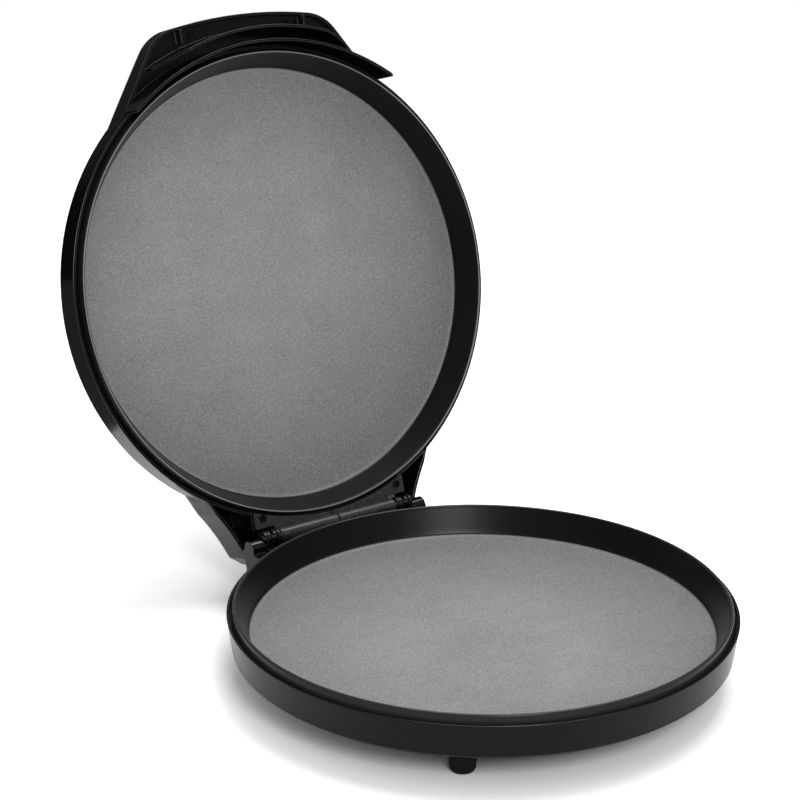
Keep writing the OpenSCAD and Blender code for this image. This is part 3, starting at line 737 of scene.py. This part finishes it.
@dataclass
class Pans:
    """The two coated pans, each one pressed sheet with a rolled bead and a skirt, on three studs."""

    place: Placement
    nodes: dict[Side, str] = field(default_factory=lambda: {Side.BASE: "lower_pan", Side.LID: "upper_pan"})
    lip_r: float = 160.0 * MM
    floor_r: float = 150.5 * MM
    depth: float = 20.0 * MM
    sheet: float = 1.6 * MM
    bead_r: float = 1.25 * MM
    flare: float = 7.0 * MM
    skirt_h: float = 8.3 * MM
    skirt_r: float = 161.4 * MM
    stud_ring: float = 133.0 * MM
    stud_r: float = 3.5 * MM
    stud_bore: float = 1.6 * MM
    # rim grey and crest line for each pan are painted light; the lid's light crest is a painted highlight
    # line
    rim_tone: dict[Side, tuple[str, str]] = field(default_factory=lambda: {
        Side.BASE: ("#2e2e2f", "#3c3c3d"), Side.LID: ("#161616", "#8a8a8b")})
    stud_end: dict[Side, float] = field(default_factory=lambda: {Side.BASE: 30.8 * MM, Side.LID: 32.1 * MM})
    segments: int = 360

    def wall_r(self, height: float) -> float:
        """Gives the inner radius of the wall at a depth below the lip."""
        rise = self.depth - 2 * MM - self.bead_r
        return self.floor_r + self.flare * (self.depth - 2 * MM - height) / rise

    def outline(self) -> list[Point]:
        """Lists the section of the sheet: floor, wall, rolled bead, skirt and back again underneath.

        Returns:
            Radius and depth of each point.
        """
        side = self.sheet * 1.08
        floor = [(0.0, self.depth), (self.floor_r * 0.5, self.depth), (self.floor_r * 0.9, self.depth)]
        foot = (self.wall_r(self.depth), self.depth)
        inner = curve((foot[0] - 3 * MM, self.depth), foot, (self.wall_r(17 * MM), 17 * MM), 8)
        rise = [(self.wall_r(h * MM), h * MM) for h in (14, 10, 6, 3.6)]
        bead_at = (self.lip_r - self.bead_r, self.bead_r)
        throat = curve((self.wall_r(2.6 * MM), 2.6 * MM), (self.wall_r(1.7 * MM), 1.7 * MM),
                       (bead_at[0] - self.bead_r, bead_at[1]), 4)
        bead = arc(bead_at, self.bead_r, 187, 355, 16)
        hem = [(self.skirt_r, self.skirt_h - 0.5 * MM), (self.skirt_r - 0.15 * MM, self.skirt_h - 0.1 * MM),
               (self.skirt_r - 0.5 * MM, self.skirt_h), (self.skirt_r - self.sheet + 0.5 * MM, self.skirt_h),
               (self.skirt_r - self.sheet, self.skirt_h - 0.5 * MM)]
        crotch = [(bead_at[0] + 0.2 * MM, 2.9 * MM), (self.wall_r(3.4 * MM) + side, 3.4 * MM)]
        back = [(self.wall_r(h * MM) + side, h * MM) for h in (8, 13, 18)]
        below = self.depth + self.sheet
        under = curve((self.wall_r(19 * MM) + side, 19 * MM), (self.floor_r + 1.2 * MM, below),
                      (self.floor_r - 2 * MM, below), 5)
        return floor + inner + rise + throat + bead + hem + crotch + back + under \
            + [(0.0, self.depth + self.sheet)]

    def press(self, side: Side) -> None:
        """Builds one pan with its studs, in place of the CAD one.

        Args:
            side: which half.
        """
        mesh = bmesh.new()
        turn(mesh, self.outline(), self.segments, Matrix())
        low, high = self.depth + self.sheet / 2, self.stud_end[side]
        bore_from = self.depth + self.sheet * 1.6
        solid = side is Side.LID
        chamfer = 0.3 * MM
        stud = [(0.0, low), (self.stud_r, low), (self.stud_r, high - chamfer), (self.stud_r - chamfer, high)]
        bore = [(self.stud_bore, high), (self.stud_bore, bore_from), (0.0, bore_from)]
        stud += [(0.0, high)] if solid else bore
        for angle in (90, 210, 330):
            out = Matrix.Translation((self.stud_ring, 0.0, 0.0))
            spot = Matrix.Rotation(math.radians(angle), 4, "Z") @ out
            turn(mesh, stud, 32, spot)
        matrix = self.place.matrix(side)
        middle = matrix @ Vector((0.0, 0.0, self.depth))
        # the point that the painted shade on the floor darkens away from
        shade_centre = matrix @ Vector((-24 * MM, -26 * MM, self.depth))
        # the rim and crest tones are painted light, set apart for each pan
        rim, crest = self.rim_tone[side]
        coat = SprayedPtfe("non_stick_coating", "#989899", 0.5, ior=1.38, edge_mm=0.2, centre=tuple(middle),
                           shade_centre=tuple(shade_centre), rim=rim, crest=crest)
        pan = finish_piece(f"{self.nodes[side]}_sheet", mesh, matrix, coat, side.value)
        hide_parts(self.nodes[side])

    def build(self) -> None:
        """Builds both pans."""
        for side in Side:
            self.press(side)


@dataclass
class Casings:
    """The glossy shells, the handle's liner, the feet and the cord bush."""

    place: Placement
    dome_r: float = 1100.78 * MM
    dome_depth: float = 44.0 * MM
    rim_drop: float = 5.2 * MM
    tilt: float = 1.0

    def on_dome_axis(self, height: float) -> Vector:
        """Finds a point on the axis of the lid's domed top.

        Args:
            height: how far the point is from the rim, along the axis.

        Returns:
            The point, in the frame.
        """
        lean = math.radians(self.tilt)
        local = Vector((0.0, -height * math.sin(lean), self.rim_drop + height * math.cos(lean)))
        return self.place.matrix(Side.LID) @ local

    def dress(self) -> None:
        """Dresses the moulded pieces."""
        shell = dict(roughness=0.12, ior=1.5, edge_mm=0.9)
        # the shells and the liner carry a painted highlight on their edges, a lighter grey where the rounding
        # turns
        dress_node("base_shell", PolishedAbs("casing_plastic", "#0a0a0a", highlight_colour="#202020", **shell))
        to_lid = self.place.matrix(Side.LID).inverted()
        crown = self.dome_depth - self.rim_drop
        dome = dict(dome=tuple(self.on_dome_axis(crown - self.dome_r)), crown=tuple(self.on_dome_axis(crown)))
        dress_node("lid_shell", LidGloss("casing_plastic", "#0a0a0a", to_lid=to_lid, **dome, **shell))
        dress_node("handle_liner", PolishedAbs("liner_plastic", "#050505", 0.2, ior=1.42, edge_mm=0.9))
        feet = (f"foot_{end}_{side}" for end in ("front", "rear") for side in ("left", "right"))
        for node in (*feet, "cord_gland"):
            dress_node(node, SparkPlastic("foot_plastic", "#0b0b0b", 0.5, ior=1.5, edge_mm=0.5))


@dataclass
class Hardware:
    """Hinge plates, brackets, pins, the bushes on the pins and the screws."""

    place: Placement
    bush_r: float = 5.0 * MM
    bush_bore: float = 2.55 * MM
    bush_l: float = 3.3 * MM
    ear_in: float = 51.0 * MM
    ear_out: float = 59.0 * MM
    round_r: float = 1.1 * MM

    def bush(self, mesh: bmesh.types.BMesh, start: float) -> None:
        """Turns one bush on the pin, both its edges rounded.

        Args:
            mesh: what it is added to.
            start: distance of its inner face from the middle; negative on the left.
        """
        r, c = self.bush_r, self.round_r
        outline = [(self.bush_bore, 0.0)] + arc((r - c, c), c, -90, 0, 6) \
            + arc((r - c, self.bush_l - c), c, 0, 90, 6) + [(self.bush_bore, self.bush_l)]
        hinge = self.place.hinge()
        spot = Matrix.Translation((start, hinge.y, hinge.z)) @ Matrix.Rotation(math.radians(90), 4, "Y")
        turn(mesh, outline, 48, spot)

    def fit_bushes(self) -> None:
        """Puts two bushes between the ears of each bracket."""
        for name, sign in (("hinge_bushes_left", -1), ("hinge_bushes_right", 1)):
            mesh = bmesh.new()
            for near in (self.ear_in, self.ear_out - self.bush_l):
                self.bush(mesh, near if sign > 0 else -near - self.bush_l)
            # the bushes' edges carry a faint painted highlight
            nylon = PolishedAbs("liner_plastic", "#0a0a0a", 0.22, ior=1.5, edge_mm=0.2, highlight_colour="#1a1a1a")
            finish_piece(name, mesh, Matrix(), nylon, Side.BASE.value)

    def build(self) -> None:
        """Dresses the metal pieces and adds the bushes."""
        for node in ("lid_hinge_left", "lid_hinge_right"):
            dress_node(node, TexturedPaint("hinge_steel", "#262627", 0.34, ior=1.6, edge_mm=0.4))
        for node in ("hinge_bracket_left", "hinge_bracket_right"):
            dress_node(node, TexturedPaint(
                "hinge_steel", "#0d0d0e", 0.3, ior=1.5, edge_mm=0.5, thin="#191919"))
        for node in ("hinge_pin_left", "hinge_pin_right"):
            dress_node(node, DrawnMetal("pin_steel", "#b5b5b8", 0.25, metallic=1.0, edge_mm=0.2))
        for node in ("lid_hinge_screws", "bracket_screws", "liner_screws", "lower_pan_screws",
                     "bottom_cover_screws"):
            dress_node(node, DrawnMetal("screw_steel", "#2a2a2b", 0.4, metallic=1.0, edge_mm=0.15))
        self.fit_bushes()


@dataclass
class Heating:
    """What heats the pans, and the electrics round it."""

    def dress(self) -> None:
        """Dresses the inner pieces and the bottom cover."""
        for node in ("lower_element", "upper_element"):
            dress_node(node, AnnealedSteel("element_steel", "#2b2c33", 0.45, metallic=1.0))
        for node in ("lower_reflector", "upper_reflector"):
            dress_node(node, DrawnMetal("reflector_aluminium", "#d5d6d8", 0.3, metallic=1.0))
        dress_node("thermostat", DrawnMetal("thermostat_metal", "#bdbdbf", 0.35, metallic=1.0))
        dress_node("thermal_fuse", WovenSleeve("fuse_sleeve", "#bda67c", 0.8))
        dress_node("terminal_block", GlazedCeramic("ceramic", "#e9e4d8", 0.3))
        dress_node("lamp_holder", SparkPlastic("holder_plastic", "#dedcd6", 0.5))
        dress_node("power_lamp", TintedLens("lamp_red", "#c01818", 0.08, ior=1.58))
        dress_node("ready_lamp", TintedLens("lamp_green", "#18a030", 0.08, ior=1.58))
        dress_node("bottom_cover", TexturedPaint("cover_steel", "#141415", 0.5, thin="#1e1e1f"))


@dataclass(frozen=True)
class Lamp:
    """One soft square lamp: where it hangs, in metres, how wide it is and its power in watts."""

    name: str
    place: tuple[float, float, float]
    side: float
    watts: float


@dataclass
class Studio:
    """A white table in a dim room, soft lamps and the camera.

    The gloss sees the table dimmer than the camera does, most of all its near end. That dimming runs along
    flag_heading, a fixed direction on the table.
    """

    azimuth: float = -35.16
    elevation: float = 19.78
    roll: float = 0.18
    distance: float = 1.39822
    target: tuple[float, float, float] = (-0.06528, -0.06721, 0.19878)
    lens_mm: float = 104.21
    ambient: float = 0.5
    table_half: float = 1.4
    table_back: float = 0.318
    table_white: float = 0.86
    seen_white: float = 1.5
    near_end: float = 0.2
    far_end: float = 0.62
    flag_heading: tuple[float, float, float] = (0.576, 0.818, 0.0)
    flag_reach: Point = (-0.26, 0.02)
    card_glow: float = 0.07
    card_height: float = 0.3 * MM
    lamps: tuple[Lamp, ...] = (Lamp("top", (0.55, 0.3, 2.2), 1.4, 29.0),
                               Lamp("front", (-0.7, -2.0, 1.5), 0.8, 18.0))

    def place_camera(self) -> None:
        """Looks at the object from the front left, a little above."""
        a, e, r = (math.radians(v) for v in (self.azimuth, self.elevation, self.roll))
        back = Vector((math.sin(a) * math.cos(e), -math.cos(a) * math.cos(e), math.sin(e)))
        side = Vector((math.cos(a), math.sin(a), 0.0))
        up = back.cross(side)
        right = math.cos(r) * side + math.sin(r) * up
        over = -math.sin(r) * side + math.cos(r) * up
        lens = bpy.data.cameras.new("camera")
        lens.sensor_width = 36.0
        lens.lens = self.lens_mm
        lens.clip_end = 50.0
        camera = bpy.data.objects.new("camera", lens)
        turned = Matrix((right, over, back)).transposed().to_4x4()
        camera.matrix_world = Matrix.Translation(Vector(self.target) + self.distance * back) @ turned
        bpy.context.scene.collection.objects.link(camera)
        bpy.context.scene.camera = camera

    def sheet(self, name: str, low: Point, high: Point, height: float) -> tuple[bpy.types.Object, Tree]:
        """Lays one flat sheet that isn't part of the object.

        Args:
            name: what it is called.
            low: its lowest corner.
            high: its highest corner.
            height: how high it lies.

        Returns:
            The sheet, and the empty node tree of its material.
        """
        mesh = bpy.data.meshes.new(name)
        corners = [(low[0], low[1], height), (high[0], low[1], height), (high[0], high[1], height),
                   (low[0], high[1], height)]
        mesh.from_pydata(corners, [], [(0, 1, 2, 3)])
        laid = bpy.data.objects.new(name, mesh)
        bpy.context.scene.collection.objects.link(laid)
        material = bpy.data.materials.new(name)
        material.use_nodes = True
        material.node_tree.nodes.clear()
        mesh.materials.append(material)
        return laid, material.node_tree

    def lay_floor(self) -> None:
        """Lays the white table, which the gloss sees dimmer, as with a black flag at its near end."""
        half = self.table_half
        _, tree = self.sheet("floor", (-half, -half), (half, half), 0.0)
        path = add_node(tree, "ShaderNodeLightPath")
        where = add_node(tree, "ShaderNodeTexCoord").outputs["Object"]
        forth = add_node(tree, "ShaderNodeVectorMath", {"operation": "DOT_PRODUCT", 1: self.flag_heading},
                         {0: where})
        flag = spread(tree, forth.outputs["Value"], self.flag_reach, (self.near_end, self.far_end))
        glossy = add_node(tree, "ShaderNodeMath", {"operation": "MULTIPLY"},
                          {0: path.outputs["Is Glossy Ray"], 1: flag})
        clear = add_node(tree, "ShaderNodeMath", {"operation": "MAXIMUM"},
                         {0: path.outputs["Is Camera Ray"], 1: path.outputs["Is Transmission Ray"]})
        seen = add_node(tree, "ShaderNodeMath", {"operation": "MAXIMUM"},
                        {0: glossy.outputs[0], 1: clear.outputs[0]})
        light = add_node(tree, "ShaderNodeMath", {"operation": "SUBTRACT", 0: 1.0},
                         {1: path.outputs["Is Glossy Ray"]})
        floor = spread(tree, light.outputs[0], (0.0, 1.0), (0.0, self.table_white))
        white = spread(tree, seen.outputs[0], (0.0, 1.0), (0.0, self.seen_white))
        tone = add_node(tree, "ShaderNodeMath", {"operation": "MAXIMUM"}, {0: floor, 1: white})
        colour = add_node(tree, "ShaderNodeCombineColor", links={
            "Red": tone.outputs[0], "Green": tone.outputs[0], "Blue": tone.outputs[0]})
        paper = add_node(tree, "ShaderNodeBsdfDiffuse", links={"Color": colour.outputs[0]})
        add_node(tree, "ShaderNodeOutputMaterial", links={"Surface": paper.outputs[0]})

    def lay_dark_card(self) -> None:
        """Lays a dark card past the table's back edge; only the gloss of the plastic sees it."""
        half = self.table_half
        card, tree = self.sheet("dark_card", (-half, self.table_back), (half, half), self.card_height)
        glow = add_node(tree, "ShaderNodeEmission", {
            "Color": (1.0, 1.0, 1.0, 1.0), "Strength": self.card_glow})
        add_node(tree, "ShaderNodeOutputMaterial", links={"Surface": glow.outputs[0]})
        card.visible_camera = card.visible_diffuse = card.visible_transmission = card.visible_shadow = False

    def light_world(self) -> None:
        """Makes a white surround for the eye, even light for matt surfaces and a dim room for the gloss."""
        world = bpy.data.worlds.new("surround")
        bpy.context.scene.world = world
        world.use_nodes = True
        tree = world.node_tree
        tree.nodes.clear()
        path = add_node(tree, "ShaderNodeLightPath")
        seen = add_node(tree, "ShaderNodeMath", {"operation": "MAXIMUM"},
                        {0: path.outputs["Is Camera Ray"], 1: path.outputs["Is Transmission Ray"]})
        heading = add_node(tree, "ShaderNodeTexCoord").outputs["Generated"]
        parts = add_node(tree, "ShaderNodeSeparateXYZ", links={0: heading})
        front = spread(tree, parts.outputs["Y"], (1.0, -1.0), (0.12, 0.26))
        above = spread(tree, parts.outputs["Z"], (0.06, 0.3), (0.02, 1.0))
        room = add_node(tree, "ShaderNodeMath", {"operation": "MULTIPLY"}, {0: front, 1: above})
        white = (1.0, 1.0, 1.0, 1.0)
        even = add_node(tree, "ShaderNodeBackground", {"Color": white, "Strength": self.ambient})
        dim = add_node(tree, "ShaderNodeBackground", {"Color": white}, {"Strength": room.outputs[0]})
        plain = add_node(tree, "ShaderNodeBackground", {"Color": white, "Strength": 1.0})
        lit = add_node(tree, "ShaderNodeMixShader", links={
            0: path.outputs["Is Glossy Ray"], 1: even.outputs[0], 2: dim.outputs[0]})
        both = add_node(tree, "ShaderNodeMixShader", links={
            0: seen.outputs[0], 1: lit.outputs[0], 2: plain.outputs[0]})
        add_node(tree, "ShaderNodeOutputWorld", links={"Surface": both.outputs[0]})

    def hang(self, lamp: Lamp) -> None:
        """Hangs one lamp, pointed at the object.

        Args:
            lamp: what to hang, and where.
        """
        light = bpy.data.lights.new(lamp.name, "AREA")
        light.shape = "SQUARE"
        light.size = lamp.side
        light.energy = lamp.watts
        hung = bpy.data.objects.new(lamp.name, light)
        place = Vector(lamp.place)
        aim = Vector((0.0, 0.0, 0.1)) - place
        turned = aim.to_track_quat("-Z", "Y").to_matrix().to_4x4()
        hung.matrix_world = Matrix.Translation(place) @ turned
        bpy.context.scene.collection.objects.link(hung)

    def build(self) -> None:
        """Sets up the whole studio."""
        self.place_camera()
        self.lay_floor()
        self.lay_dark_card()
        self.light_world()
        for lamp in self.lamps:
            self.hang(lamp)
        view = bpy.context.scene.view_settings
        view.view_transform = "Standard"
        log.info("studio ready")


def main() -> None:
    """Builds everything in order."""
    logging.basicConfig(level=logging.INFO, format="%(name)s: %(message)s")
    place = Placement()
    Casings(place).dress()
    Pans(place).build()
    Hardware(place).build()
    Heating().dress()
    Studio().build()


if __name__ == "__main__":
    main()
